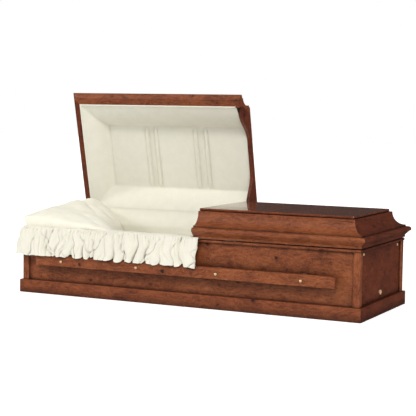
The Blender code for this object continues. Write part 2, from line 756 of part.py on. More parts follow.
def make_overlay(cloth):
    """The throw's border: over the rim and down outside as a gathered skirt, down inside to the bed."""
    over = BODY_HEIGHT + SOFT_CLEARANCE / 3
    near = RIM_PROUD + SOFT_CLEARANCE * 2
    inside = BODY_LINING_IN - SOFT_CLEARANCE
    rings = []
    for run, place in skirt_stations():
        phase = 2 * math.pi * run / SKIRT_PITCH
        wave = SKIRT_WAVE * math.sin(phase)
        hem = BODY_HEIGHT - SKIRT_DROP + SKIRT_SCALLOP * math.sin(phase + math.pi / 3)
        skirt_in = near + SKIRT_WAVE + wave
        skirt_out = skirt_in + SKIRT_OUT
        section = [
            (skirt_out, hem),
            (skirt_out, (hem + BODY_HEIGHT) / 2),
            (near + SKIRT_OUT / 2, BODY_HEIGHT - SOFT_CLEARANCE * 4),
            (near + CLOTH_THICK, over + CLOTH_THICK),
            (inside, over + CLOTH_THICK),
            (inside - CLOTH_THICK, over),
            (inside - CLOTH_THICK, BODY_HEIGHT - SKIRT_INNER_DROP),
            (inside, BODY_HEIGHT - SKIRT_INNER_DROP),
            (inside, over),
            (near, over),
            (near, BODY_HEIGHT - RIM_HEIGHT),
            (skirt_in, (hem + BODY_HEIGHT) / 2),
            (skirt_in, hem),
        ]
        rings.append([place(out, z) for out, z in section])
    bm = bmesh.new()
    loft(bm, rings)
    smooth(finish("overlay", bm, cloth), 60.0)


def main():
    clear_scene()
    wood = material("stained_wood", (0.19, 0.065, 0.032), 0.32)
    board = material("plain_board", (0.30, 0.20, 0.12), 0.7)
    brass = material("brass", (0.83, 0.62, 0.42), 0.25, 1.0)
    steel = material("hinge_steel", (0.45, 0.40, 0.34), 0.35, 1.0)
    cloth = material("cream_cloth", (0.84, 0.80, 0.68), 0.8)

    make_plinth(wood)
    make_bottom(board)
    panels = make_panels(wood)
    make_posts(wood)
    make_rim(wood)
    make_handle("front", panels["front"], wood, brass)
    make_handle("back", panels["back"], wood, brass)
    make_foot_fittings(panels["foot"], brass)
    make_body_lining(cloth)
    make_mattress(cloth)
    make_pillow(cloth)
    make_overlay(cloth)
    make_lid("head", LID_OPEN_DEG, wood, cloth, steel)
    make_lid("foot", 0.0, wood, cloth, steel)


main()
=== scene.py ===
"""The looks of a half-couch wooden casket: stained knotty wood, brass, and a cream cloth interior."""

import math

import bpy
import numpy as np
from mathutils import Matrix, Vector, noise


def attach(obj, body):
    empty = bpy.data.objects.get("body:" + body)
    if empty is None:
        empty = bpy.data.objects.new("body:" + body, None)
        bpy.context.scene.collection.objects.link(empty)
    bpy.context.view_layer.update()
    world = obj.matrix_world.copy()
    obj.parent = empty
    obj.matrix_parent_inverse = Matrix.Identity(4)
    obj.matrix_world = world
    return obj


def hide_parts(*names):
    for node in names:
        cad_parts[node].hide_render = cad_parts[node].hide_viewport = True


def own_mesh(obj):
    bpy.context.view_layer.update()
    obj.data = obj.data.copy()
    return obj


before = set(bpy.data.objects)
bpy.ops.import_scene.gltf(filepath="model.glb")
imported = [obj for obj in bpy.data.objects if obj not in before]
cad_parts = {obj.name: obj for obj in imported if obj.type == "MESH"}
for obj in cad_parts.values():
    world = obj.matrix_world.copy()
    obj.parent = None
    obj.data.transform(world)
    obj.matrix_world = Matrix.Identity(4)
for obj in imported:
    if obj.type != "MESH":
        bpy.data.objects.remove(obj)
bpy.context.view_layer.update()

# Sizes of the casket in metres, and the angle of the open lid
POST_X = 1.027
POST_Y = 0.362
RIM_TOP = 0.374
HINGE_Y = 0.3765
HINGE_Z = 0.400
LID_OPEN_DEG = 77.0
LID_CUT_X = 0.078
LIDS_GAP = 0.003
HEADER_DEPTH = 0.0205
CLOSED_TO_OPEN = (
    Matrix.Translation((0, HINGE_Y, HINGE_Z))
    @ Matrix.Rotation(math.radians(-LID_OPEN_DEG), 4, "X")
    @ Matrix.Translation((0, -HINGE_Y, -HINGE_Z))
)


# Mesh helpers


def billow(x, y, z=0.0):
    """Noise with round crests and creased valleys, from 0 up to about 1."""
    return min(1.0, abs(noise.noise(Vector((x, y, z)))) * 2.2)


def wander(x, y, z=0.0):
    """Smooth noise from about -1 to 1."""
    return noise.noise(Vector((x, y, z))) * 1.6


def ease(value, low, high):
    """0 below low, 1 above high and smooth between."""
    share = min(max((value - low) / (high - low), 0.0), 1.0)
    return share * share * (3 - 2 * share)


def between(pair, share):
    """The value a share of the way from the pair's first to its second."""
    return pair[0] + (pair[1] - pair[0]) * share


def mesh_object(name, points, faces, mat):
    mesh = bpy.data.meshes.new(name)
    mesh.from_pydata([tuple(map(float, p)) for p in points], [], faces)
    mesh.validate()
    mesh.shade_smooth()
    mesh.materials.append(mat)
    obj = bpy.data.objects.new(name, mesh)
    bpy.context.scene.collection.objects.link(obj)
    return obj


def grid_faces(rows, columns, start=0, flip=False):
    faces = []
    for i in range(rows - 1):
        for j in range(columns - 1):
            a, b = start + i * columns + j, start + (i + 1) * columns + j
            face = (a, b, b + 1, a + 1)
            faces.append(face[::-1] if flip else face)
    return faces


def sheet_object(name, points, mat):
    rows, columns = points.shape[:2]
    return mesh_object(name, points.reshape(-1, 3), grid_faces(rows, columns), mat)


def shell_object(name, front, back, mat):
    """A closed shell between two grids of the same size."""
    rows, columns = front.shape[:2]
    count = rows * columns
    faces = grid_faces(rows, columns) + grid_faces(rows, columns, count, flip=True)
    border = [(i, 0) for i in range(rows - 1)]
    border += [(rows - 1, j) for j in range(columns - 1)]
    border += [(i, columns - 1) for i in range(rows - 1, 0, -1)]
    border += [(0, j) for j in range(columns - 1, 0, -1)]
    for (i, j), (p, q) in zip(border, border[1:] + border[:1]):
        a, b = i * columns + j, p * columns + q
        faces.append((b, a, a + count, b + count))
    points = np.concatenate([front.reshape(-1, 3), back.reshape(-1, 3)])
    return mesh_object(name, points, faces, mat)


# Materials


class Nodes:
    """Adds nodes to a new material and links them."""

    def __init__(self, name):
        self.mat = bpy.data.materials.new(name)
        self.mat.use_nodes = True
        self.tree = self.mat.node_tree
        self.shader = self.tree.nodes["Principled BSDF"]

    def add(self, kind, inputs=None, **settings):
        node = self.tree.nodes.new("ShaderNode" + kind)
        for key, value in settings.items():
            setattr(node, key, value)
        for key, value in (inputs or {}).items():
            self.put(node.inputs[key], value)
        return node

    def put(self, socket, value):
        if isinstance(value, bpy.types.NodeSocket):
            self.tree.links.new(value, socket)
        else:
            socket.default_value = value

    def math(self, operation, a, b=None):
        node = self.add("Math", operation=operation)
        self.put(node.inputs[0], a)
        if b is not None:
            self.put(node.inputs[1], b)
        return node.outputs[0]

    def total(self, first, *others):
        for other in others:
            first = self.math("ADD", first, other)
        return first

    def swing(self, value, reach):
        """How far a value that is about 0.5 on average is from 0.5, times the reach."""
        return self.math("MULTIPLY", self.math("SUBTRACT", value, 0.5), reach)

    def mapped(self, vector, **change):
        """The vector, moved by Location, turned by Rotation or stretched by Scale."""
        return self.add("Mapping", {"Vector": vector, **change}).outputs[0]

    def noise(self, vector, scale, detail=2.0, rough=0.5, distortion=0.0):
        inputs = {"Vector": vector, "Scale": scale, "Detail": detail}
        inputs |= {"Roughness": rough, "Distortion": distortion}
        return self.add("TexNoise", inputs).outputs["Fac"]

    def spread(self, value, low, high, to_low=0.0, to_high=1.0):
        inputs = {"Value": value, "From Min": low, "From Max": high, "To Min": to_low, "To Max": to_high}
        return self.add("MapRange", inputs, interpolation_type="SMOOTHSTEP").outputs["Result"]

    def mix(self, share, a, b, blend="MIX"):
        """Mix two colours. The node's inputs 6 and 7 and its output 2 are those for colours."""
        node = self.add("Mix", data_type="RGBA", blend_type=blend)
        self.put(node.inputs["Factor"], share)
        self.put(node.inputs[6], a)
        self.put(node.inputs[7], b)
        return node.outputs[2]

    def ramp(self, value, stops):
        node = self.add("ValToRGB", {"Fac": value})
        elements = node.color_ramp.elements
        while len(elements) < len(stops):
            elements.new(0.5)
        for element, (place, colour) in zip(elements, stops):
            element.position = place
            element.color = (*colour, 1.0)
        return node.outputs["Color"]

    def painted_shade(self, colour, reach, depth, low=0.15):
        """The colour, darkened by painted shade where another surface is near, as in a groove or a fold."""
        open_share = self.add("AmbientOcclusion", {"Distance": reach}, samples=8).outputs["AO"]
        shade = self.spread(open_share, low, 0.97, 1.0 - depth, 1.0)
        return self.mix(1.0, colour, shade, "MULTIPLY")

    def bump(self, height, strength, distance, normal=None):
        inputs = {"Height": height, "Strength": strength, "Distance": distance}
        if normal is not None:
            inputs["Normal"] = normal
        return self.add("Bump", inputs).outputs["Normal"]


# Wood. A texture's scale is about the number of its marks in a metre
BEND_SCALE = 6.0
BEND_REACH = 0.10
KNOT_SCALE = 13.0
KNOT_RINGS = 62.0
BURR_SCALE = 95.0
FIGURE_SCALE = 38.0
BLOTCH_SCALE = 7.0
LINE_SCALE = 130.0
PORE_SCALE = 560.0
KNOT_STRETCH = (0.8, 1.0, 1.0)
FIGURE_STRETCH = (0.45, 1.0, 1.0)
GRAIN_STRETCH = (0.07, 1.0, 1.0)
GRAIN_TURNS = {"x": (0.0, 0.0, 0.0), "y": (0.0, 0.0, math.pi / 2), "z": (0.0, math.pi / 2, 0.0)}
WOOD_LEVEL = 0.208
WOOD_TONES = (
    (0.19, (0.045, 0.010, 0.003)),
    (0.28, (0.135, 0.031, 0.009)),
    (0.38, (0.235, 0.060, 0.017)),
    (0.54, (0.370, 0.110, 0.034)),
)
WOOD_DARK = (0.020, 0.008, 0.005, 1.0)


def wood_place(n, grain, offset, lid):
    """Where a point is in the wood, with X along the grain and the lid as if closed."""
    place = n.add("TexCoord").outputs["Object"]
    if lid:
        place = n.mapped(place, Rotation=(math.radians(LID_OPEN_DEG), 0.0, 0.0))
    return n.mapped(place, Rotation=GRAIN_TURNS[grain], Location=offset)


def bent_place(n, place):
    """The place, shifted a little by soft noise, so that the grain wavers."""
    bend = n.add("TexNoise", {"Vector": place, "Scale": BEND_SCALE, "Detail": 2.0}).outputs["Color"]
    bend = n.add("VectorMath", {0: bend, 1: (0.5, 0.5, 0.5)}, operation="SUBTRACT").outputs[0]
    bend = n.add("VectorMath", {0: bend, "Scale": BEND_REACH}, operation="SCALE").outputs[0]
    return n.add("VectorMath", {0: place, 1: bend}, operation="ADD").outputs[0]


def wood(name, grain, offset=(0.0, 0.0, 0.0), lid=False, shade=1.0, polish=0.40, coat=0.35):
    """Red-brown stained knotty wood under satin lacquer, its grain along one axis of the casket."""
    n = Nodes(name)
    place = wood_place(n, grain, offset, lid)
    bent = bent_place(n, place)

    knot_place = n.mapped(bent, Scale=KNOT_STRETCH)
    knots = n.add("TexVoronoi", {"Vector": knot_place, "Scale": KNOT_SCALE, "Randomness": 1.0})
    reach = knots.outputs["Distance"]
    chance = n.add("SeparateColor", {"Color": knots.outputs["Color"]}).outputs[0]
    kept = n.spread(chance, 0.30, 0.60)
    core = n.math("MULTIPLY", n.spread(reach, 0.06, 0.17, 1.0, 0.0), kept)
    halo = n.math("MULTIPLY", n.spread(reach, 0.08, 0.45, 1.0, 0.0), kept)
    rings = n.math("SINE", n.math("MULTIPLY", reach, KNOT_RINGS))
    burrs = n.noise(knot_place, BURR_SCALE, 4.0, 0.72, 1.2)

    figure = n.noise(n.mapped(bent, Scale=FIGURE_STRETCH), FIGURE_SCALE, 6.0, 0.68, 1.3)
    blotch = n.noise(place, BLOTCH_SCALE, 3.0, 0.55, 0.4)
    grain_place = n.mapped(bent, Scale=GRAIN_STRETCH)
    swirl = n.math("MULTIPLY", halo, 0.030)
    grain_place = n.add("VectorMath", {0: grain_place, 1: swirl}, operation="ADD").outputs[0]
    lines = n.noise(grain_place, LINE_SCALE, 5.0, 0.70)
    pores = n.noise(grain_place, PORE_SCALE, 2.0, 0.6)

    tone = n.total(
        n.math("MULTIPLY", figure, 0.36),
        n.swing(blotch, 0.27),
        WOOD_LEVEL,
        n.swing(lines, 0.50),
        n.swing(burrs, 0.34),
        n.math("MULTIPLY", n.math("MULTIPLY", rings, halo), 0.022),
        n.math("MULTIPLY", halo, -0.040),
    )
    # A shade below 1 darkens the wood and deepens its red; dress_frame uses it for slightly darker tones
    # and for painted shade.
    red, green, blue = shade, shade**1.7, shade**1.9
    colour = n.ramp(tone, [(at, (r * red, g * green, b * blue)) for at, (r, g, b) in WOOD_TONES])
    colour = n.mix(n.math("MULTIPLY", core, 0.88), colour, WOOD_DARK)
    specks = n.spread(burrs, 0.640, 0.72)
    colour = n.mix(n.math("MULTIPLY", specks, 0.70), colour, WOOD_DARK)
    colour = n.mix(n.spread(pores, 0.60, 0.75, 0.0, 0.35), colour, WOOD_DARK)

    # Painted shade in the grooves, beside the posts and on the panel under the handle bar.
    n.put(n.shader.inputs["Base Color"], n.painted_shade(colour, 0.075, 0.85, low=0.30))
    n.put(n.shader.inputs["Roughness"], n.spread(figure, 0.3, 0.7, 0.52, 0.40))
    n.shader.inputs["Specular IOR Level"].default_value = 0.3
    n.shader.inputs["Coat Weight"].default_value = coat
    n.shader.inputs["Coat Roughness"].default_value = polish
    n.shader.inputs["Coat IOR"].default_value = 1.45
    relief = n.math("ADD", n.math("MULTIPLY", lines, 0.6), n.math("MULTIPLY", pores, 0.4))
    n.put(n.shader.inputs["Normal"], n.bump(relief, 0.22, 0.0006))
    n.mat.diffuse_color = (0.21, 0.06, 0.025, 1.0)
    return n.mat


# Cloth. The threads are about 1.3 mm apart
WEAVE_SCALE = 1500.0 / 6.3
CREPE_SCALE = 260.0
SOFT_SCALE = 22.0


def cloth(name, colour, crinkle=0.5, painted_fold_shade=0.10):
    """Cream crepe: a fine weave, a small crinkle and a soft sheen, with painted shade darkening it inside
    its creases.
    """
    n = Nodes(name)
    place = n.add("TexCoord").outputs["Object"]
    weave = {"Vector": place, "Scale": WEAVE_SCALE, "Distortion": 1.5, "Detail": 1.0}
    warp, weft = (n.add("TexWave", weave, bands_direction=axis).outputs["Fac"] for axis in "XZ")
    threads = n.math("ADD", warp, weft)
    crepe = n.noise(place, CREPE_SCALE, 3.0, 0.6, 0.6)
    soft = n.noise(place, SOFT_SCALE, 3.0, 0.5, 0.3)
    dull = tuple(c * 0.975 for c in colour) + (1.0,)
    dark = tuple(c * 0.86 for c in colour) + (1.0,)
    tint = n.mix(n.spread(soft, 0.35, 0.65), dull, colour + (1.0,))
    tint = n.mix(n.spread(crepe, 0.62, 0.80, 0.0, 0.25), tint, dark)
    # Painted shade where the cloth lies close to itself or to other parts, as inside its creases.
    n.put(n.shader.inputs["Base Color"], n.painted_shade(tint, 0.020, painted_fold_shade))
    n.put(n.shader.inputs["Roughness"], n.spread(crepe, 0.3, 0.7, 0.86, 0.72))
    n.shader.inputs["Sheen Weight"].default_value = 0.25
    n.shader.inputs["Sheen Roughness"].default_value = 0.45
    n.shader.inputs["Specular IOR Level"].default_value = 0.25
    fine = n.bump(threads, 0.30, 0.0003)
    fine = n.bump(crepe, 0.45 * crinkle, 0.0010, fine)
    n.put(n.shader.inputs["Normal"], n.bump(soft, 0.35 * crinkle, 0.004, fine))
    n.mat.diffuse_color = (*colour, 1.0)
    return n.mat


# One dark groove every 25 mm: a wave texture repeats every pi / (10 x scale) metres
KNUCKLE_SCALE = math.pi / (10 * 0.025)
KNUCKLE_GROOVE = (0.02, 0.018, 0.015, 1.0)
CLOUD_SCALE = 90.0
SCRATCH_SCALE = 2400.0

# Only partly metallic, so that the brass and the steel look dull
METALLIC = 0.45


def metal(name, colour, roughness, tarnish, knuckles=False):
    """Satin metal, tarnished in clouds and brushed along X. A hinge has grooves between its knuckles."""
    n = Nodes(name)
    place = n.add("TexCoord").outputs["Object"]
    cloud = n.noise(place, CLOUD_SCALE, 4.0, 0.6)
    scratch = n.noise(n.mapped(place, Scale=(0.03, 1.0, 1.0)), SCRATCH_SCALE, 2.0)
    tint = n.mix(n.spread(cloud, 0.45, 0.75, 0.0, 0.6), colour + (1.0,), tarnish + (1.0,))
    if knuckles:
        bands = n.add("TexWave", {"Vector": place, "Scale": KNUCKLE_SCALE}, bands_direction="X")
        grooves = n.spread(bands.outputs["Fac"], 0.0, 0.12)
        tint = n.mix(grooves, KNUCKLE_GROOVE, tint)
    n.put(n.shader.inputs["Base Color"], tint)
    n.put(n.shader.inputs["Roughness"], n.spread(cloud, 0.3, 0.7, roughness, roughness + 0.18))
    n.shader.inputs["Metallic"].default_value = METALLIC
    normal = n.bump(scratch, 0.15, 0.0002)
    if knuckles:
        normal = n.bump(grooves, 0.8, 0.0010, normal)
    n.put(n.shader.inputs["Normal"], normal)
    n.mat.diffuse_color = (*colour, 1.0)
    return n.mat


def board(name):
    """Plain unfinished board for the underside."""
    n = Nodes(name)
    place = n.add("TexCoord").outputs["Object"]
    rings = n.noise(n.mapped(place, Scale=(0.06, 1.0, 1.0)), 60.0, 5.0, 0.6, 0.8)
    colour = n.ramp(rings, [(0.3, (0.20, 0.12, 0.065)), (0.7, (0.40, 0.27, 0.16))])
    n.put(n.shader.inputs["Base Color"], colour)
    n.put(n.shader.inputs["Roughness"], n.spread(rings, 0.3, 0.7, 0.7, 0.85))
    n.put(n.shader.inputs["Normal"], n.bump(rings, 0.3, 0.0008))
    return n.mat


def dress(node, mat):
    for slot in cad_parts[node].material_slots:
        slot.material = mat


cream = cloth("cream_crepe", (0.83, 0.80, 0.68))
# The ruffle has the deepest painted shade in its creases.
cream_ruffle = cloth("cream_crepe_ruffle", (0.81, 0.78, 0.67), painted_fold_shade=0.65)
cream_smooth = cloth("cream_crepe_smooth", (0.80, 0.78, 0.675), crinkle=0.12, painted_fold_shade=0.15)
# The pillow's crepe is lighter than the rest of the cream: painted light on its upturned top.
cream_pillow = cloth("cream_crepe_pillow", (0.91, 0.88, 0.75), crinkle=0.4)
brass = metal("brass_satin", (0.93, 0.72, 0.42), 0.42, (0.70, 0.48, 0.24))
steel = metal("steel_dulled", (0.24, 0.21, 0.18), 0.38, (0.13, 0.11, 0.09), knuckles=True)


def dress_frame():
    """Give every solid its wood or metal. Each kind of board has its own tone or place in the texture, and
    the darker end boards, lid ends and foot lid top carry painted shade.
    """
    woods = {
        "x": wood("wood_long", "x"),
        "plinth": wood("wood_plinth", "x", (3.1, 0.7, 0.2), shade=0.90),
        "bar": wood("wood_bar", "x", (7.3, 1.9, 0.4)),
        # Painted shade: the end boards are darker, as sides that face away from the lamps.
        "y": wood("wood_end_shaded", "y", (1.7, 0.3, 2.1), shade=0.64),
        "z": wood("wood_post", "z", (0.9, 2.2, 1.3)),
        "lid": wood("wood_lid", "x", (5.2, 4.1, 0.9), lid=True, shade=0.93),
        # Painted shade: the head lid's end moulding and header are darker.
        "lid_end": wood("wood_lid_end_shaded", "y", (2.6, 5.0, 1.1), lid=True, shade=0.62),
        "foot": wood("wood_foot_lid", "x", (4.4, 2.8, 3.2)),
        # Painted shade: the foot lid's top is darker, as a top that the lamps light little; its high polish
        # is real.
        "foot_top": wood("wood_foot_lid_top_shaded", "x", (4.4, 2.8, 3.2), shade=0.8, polish=0.05, coat=0.9),
        # Painted shade: the foot lid's end moulding and header are darker.
        "foot_end": wood("wood_foot_lid_end_shaded", "y", (6.1, 1.4, 2.7), shade=0.62),
    }
    under = board("board_plain")
    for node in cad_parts:
        if node.startswith(("handle_bolt", "foot_screw", "foot_tube")):
            dress(node, brass)
        elif "_hinge_" in node:
            dress(node, steel)
        elif node == "bottom_board":
            dress(node, under)
        elif node.startswith("post"):
            dress(node, woods["z"])
        elif node.startswith("handle"):
            dress(node, woods["bar"])
        elif node.startswith("plinth"):
            dress(node, woods["plinth" if node.endswith(("front", "back")) else "y"])
        elif node.startswith(("panel", "rim")):
            dress(node, woods["x" if node.endswith(("front", "back")) else "y"])
        elif node.startswith("head_lid"):
            dress(node, woods["lid_end" if node.endswith(("end", "header")) else "lid"])
        elif node == "foot_lid_top":
            dress(node, woods["foot_top"])
        elif node.startswith("foot_lid"):
            dress(node, woods["foot_end" if node.endswith(("end", "header")) else "foot"])


# Lid linings

LINING_INSET = 0.0365
LINING_RISE = 0.120
LINING_BOTTOM = 0.382
LINING_THICK = 0.006
WELT_WIDTH = 0.0085
WELT_THICK = 0.0006
WELT_BOTTOM = 0.3772
WELT_SLOPE = 0.003
FRONT_COVE = 0.149
BACK_COVE = 0.112
END_COVE = 0.112
PUCKER = 0.0045
SEAM_RISE = 0.003
SEAM_WIDTH = 0.035
CUT_ROLL_RISE = 0.004
CUT_ROLL_WIDTH = 0.012

# A pleat is two stitched tucks, given as their middle and half the distance between them
PLEATS = {"head": ((-0.585, 0.030), (-0.250, 0.035)), "foot": ((0.36, 0.033), (0.70, 0.033))}
TUCK_DEPTH = 0.0105
TUCK_WIDTH = 0.0065
RIDGE_RISE = 0.0050
RIDGE_OFF = 0.0125
RIDGE_WIDTH = 0.0030
PLEAT_RISE = 0.003


def cove_rise(share):
    share = min(max(share, 0.0), 1.0)
    return 0.55 * share + 0.45 * share**3.2


def pleat_relief(x, pleats):
    """Each tuck is a narrow valley with a ridge on both sides, and the cloth swells between a pair."""
    relief = 0.0
    for middle, gap in pleats:
        for tuck in (middle - gap, middle + gap):
            off = x - tuck
            relief -= TUCK_DEPTH * math.exp(-((off / TUCK_WIDTH) ** 2))
            relief += RIDGE_RISE * math.exp(-(((abs(off) - RIDGE_OFF) / RIDGE_WIDTH) ** 2))
        relief += PLEAT_RISE * math.sqrt(max(0.0, 1.0 - ((x - middle) / gap) ** 2))
    return relief


def lining_rise(x, y, shares, pleats):
    """How far the cloth stands above the lid's lower edge, from its shares of the way up three coves."""
    share = min(shares)
    on_cove = 1.0 - ease(share, 0.85, 1.0)
    along = y if share == shares[2] else x
    pucker = billow(along * 13.0, share * 1.3 + 3.0 * shares.index(share))
    rise = LINING_RISE * cove_rise(share)
    rise += PUCKER * on_cove * math.sin(math.pi * min(share, 1.0)) * (pucker - 0.4)
    rise += SEAM_RISE * math.exp(-(((share - 1.0) / SEAM_WIDTH) ** 2))
    if share > 1.0:
        inner = min(1.0, (share - 1.0) * 3.0)
        rise += inner * (0.0008 * wander(x * 5.0, y * 3.0) - 0.003)
        rise += pleat_relief(x, pleats) * ease(share, 1.0, 1.2)
    return rise


def lid_lining(lid):
    """Padded coves on three sides round a flat panel with stitched tucks, in the closed lid's place.

    Along the lid's front and end the cloth is turned out over the wood's edge as a thin flat welt.
    """
    sign = 1 if lid == "foot" else -1
    end = sign * (POST_X - LINING_INSET)
    cut = LID_CUT_X + HEADER_DEPTH if lid == "foot" else LID_CUT_X - LIDS_GAP - HEADER_DEPTH
    half = POST_Y - LINING_INSET
    turned = [-WELT_WIDTH, -WELT_WIDTH / 2, 0.0, WELT_SLOPE]
    xs = set(np.linspace(min(end, cut), max(end, cut), 150))
    for middle, gap in PLEATS[lid]:
        for tuck in (middle - gap, middle + gap):
            xs |= {tuck + step for step in np.linspace(-0.018, 0.018, 19)}
    xs = [x for x in xs if abs(x - end) > WELT_SLOPE + 0.0005]
    xs = np.array(sorted(xs + [end - sign * step for step in turned]))
    ys = np.concatenate([[-half + step for step in turned], np.linspace(-half + 0.008, half, 95)])
    front = np.zeros((len(xs), len(ys), 3))
    thick = np.zeros((len(xs), len(ys)))
    for i, x in enumerate(xs):
        from_end = sign * (end - x)
        for j, y in enumerate(ys):
            shares = ((y + half) / FRONT_COVE, (half - y) / BACK_COVE, from_end / END_COVE)
            rise = lining_rise(x, y, shares, PLEATS[lid])
            rise += CUT_ROLL_RISE * math.exp(-((abs(x - cut) / CUT_ROLL_WIDTH) ** 2))
            inside = ease(min(y + half, from_end), 0.0, WELT_SLOPE)
            thick[i, j] = between((WELT_THICK, LINING_THICK), inside)
            front[i, j] = (x, y, between((WELT_BOTTOM, LINING_BOTTOM + rise), inside))
    back = front.copy()
    back[:, :, 2] += thick
    if lid == "head":
        turn = np.array(CLOSED_TO_OPEN)
        for grid in (front, back):
            grid[:] = grid @ turn[:3, :3].T + turn[:3, 3]
    obj = shell_object(f"{lid}_lid_padding", front, back, cream_smooth)
    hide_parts(f"{lid}_lid_lining")
    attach(obj, f"{lid}_lid")


# Body lining and mattress


BODY_INSET = 0.0405
BODY_CORNER = 0.010
BODY_FLOOR = 0.019
BODY_CLOTH_TOP = 0.373
BODY_LEVELS = (0.019, 0.12, 0.22, 0.25, 0.265, 0.28, 0.295, 0.31)
BODY_LEVELS += (0.325, 0.338, 0.348, 0.356, 0.363, 0.368, 0.3715, 0.373)
LEAST_COVER = 0.001


def ring_place(run, half_x, half_y, radius):
    """The point and outward direction at a run round a rounded rectangle, from the middle of its front."""
    straight_x, straight_y = 2 * (half_x - radius), 2 * (half_y - radius)
    arc_run = radius * math.pi / 2
    total = 2 * (straight_x + straight_y) + 4 * arc_run
    run = (run + straight_x / 2) % total
    corners = [(1, -1), (1, 1), (-1, 1), (-1, -1)]
    starts = [-90, 0, 90, 180]
    for k, length in enumerate((straight_x, straight_y, straight_x, straight_y)):
        angle = math.radians(starts[k])
        outward = Vector((math.cos(angle), math.sin(angle), 0))
        along = Vector((-outward.y, outward.x, 0))
        middle = Vector((outward.x * half_x, outward.y * half_y, 0))
        if run <= length:
            return middle + along * (run - length / 2), outward
        run -= length
        if run <= arc_run:
            turn = angle + run / radius
            outward = Vector((math.cos(turn), math.sin(turn), 0))
            corner = Vector((corners[k][0] * (half_x - radius), corners[k][1] * (half_y - radius), 0))
            return corner + outward * radius, outward
        run -= arc_run
    return middle, outward


def body_lining():
    """Shirred cloth round the inside of the body, with a soft roll along its top."""
    half_x, half_y = POST_X - BODY_INSET, POST_Y - BODY_INSET
    total = 4 * (half_x + half_y - 2 * BODY_CORNER) + 2 * math.pi * BODY_CORNER
    count = 900
    points = []
    for k in range(count):
        run = total * k / count
        base, outward = ring_place(run, half_x, half_y, BODY_CORNER)
        for z in BODY_LEVELS:
            above = ease(z, 0.245, 0.28)
            fold = billow(run * 21.0, z * 3.0) * 0.6 + billow(run * 52.0, z * 5.0, 4.0) * 0.4
            inward = 0.0065 + above * (0.008 * fold + 0.003)
            inward *= math.sqrt(max(0.0, 1.0 - ease(z, 0.350, 0.3745) ** 2))
            point = base - outward * max(inward, LEAST_COVER)
            points.append((point.x, point.y, z))
        points.append((base.x, base.y, BODY_CLOTH_TOP))
        points.append((base.x, base.y, BODY_FLOOR))
    columns = len(BODY_LEVELS) + 2
    faces = []
    for i in range(count):
        this, after = i * columns, (i + 1) % count * columns
        for j in range(columns):
            above = (j + 1) % columns
            faces.append((this + j, this + above, after + above, after + j))
    obj = mesh_object("body_padding", points, faces, cream)
    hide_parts("body_lining")
    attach(obj, "casket")


MATTRESS_INSET = 0.0505
MATTRESS_LOW = 0.0185
MATTRESS_TOP = 0.240
MATTRESS_ROUND = 0.03
MATTRESS_CROWN = 0.014
TUFT_PITCH = 0.16
TUFT_DEPTH = 0.010


def tuft_dome(x, y):
    """0 along a square grid of lines and 1 in the middle of each square."""
    across = abs(math.sin(x * math.pi / TUFT_PITCH))
    return (across * abs(math.sin((y + TUFT_PITCH / 2) * math.pi / TUFT_PITCH))) ** 0.5


def mattress():
    """A crowned pad with tufted hollows."""
    half_x, half_y = POST_X - MATTRESS_INSET, POST_Y - MATTRESS_INSET
    columns, rows = 61, 171
    top, under = np.zeros((rows, columns, 3)), np.zeros((rows, columns, 3))
    for i in range(rows):
        u = math.sin((2 * i / (rows - 1) - 1) * math.pi / 2)
        for j in range(columns):
            v = math.sin((2 * j / (columns - 1) - 1) * math.pi / 2)
            x, y = u * half_x, v * half_y
            edge = max(abs(x) - half_x, abs(y) - half_y) / MATTRESS_ROUND + 1
            drop = MATTRESS_ROUND * (1 - math.sqrt(max(0.0, 1 - max(edge, 0.0) ** 2)))
            crown = MATTRESS_CROWN * (1 - v * v) * (1 - u**6)
            z = MATTRESS_TOP + crown - drop + TUFT_DEPTH * tuft_dome(x, y) + 0.002 * wander(x * 9, y * 9)
            top[i, j] = (x, y, z)
            under[i, j] = (x, y, MATTRESS_LOW + drop * 0.6)
    obj = shell_object("mattress_pad", top, under, cream)
    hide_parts("mattress")
    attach(obj, "casket")


# Pillow


# The pillow's ends in X and its seam's heights are given at its front and its back
PILLOW_LEFT = (-1.0217, -0.919)
PILLOW_RIGHT = (-0.4314, -0.7409)
PILLOW_Y = (-0.363, 0.2965)
PILLOW_SEAM = ((0.4397, 0.4678), (0.3801, 0.3175))
PILLOW_RISE = 0.084
PILLOW_DEPTH = 0.150
PILLOW_BED = 0.262
PILLOW_REST = 0.3810
PILLOW_THIN = 0.004


def pillow_place(u, v):
    """The point on the pillow's seam surface, for u from end to end and v from front to back, -1 to 1."""
    along, across = (u + 1) / 2, (v + 1) / 2
    x = between((between(PILLOW_LEFT, across), between(PILLOW_RIGHT, across)), along)
    z = between([between(pair, across) for pair in PILLOW_SEAM], along)
    return x, between(PILLOW_Y, across), z


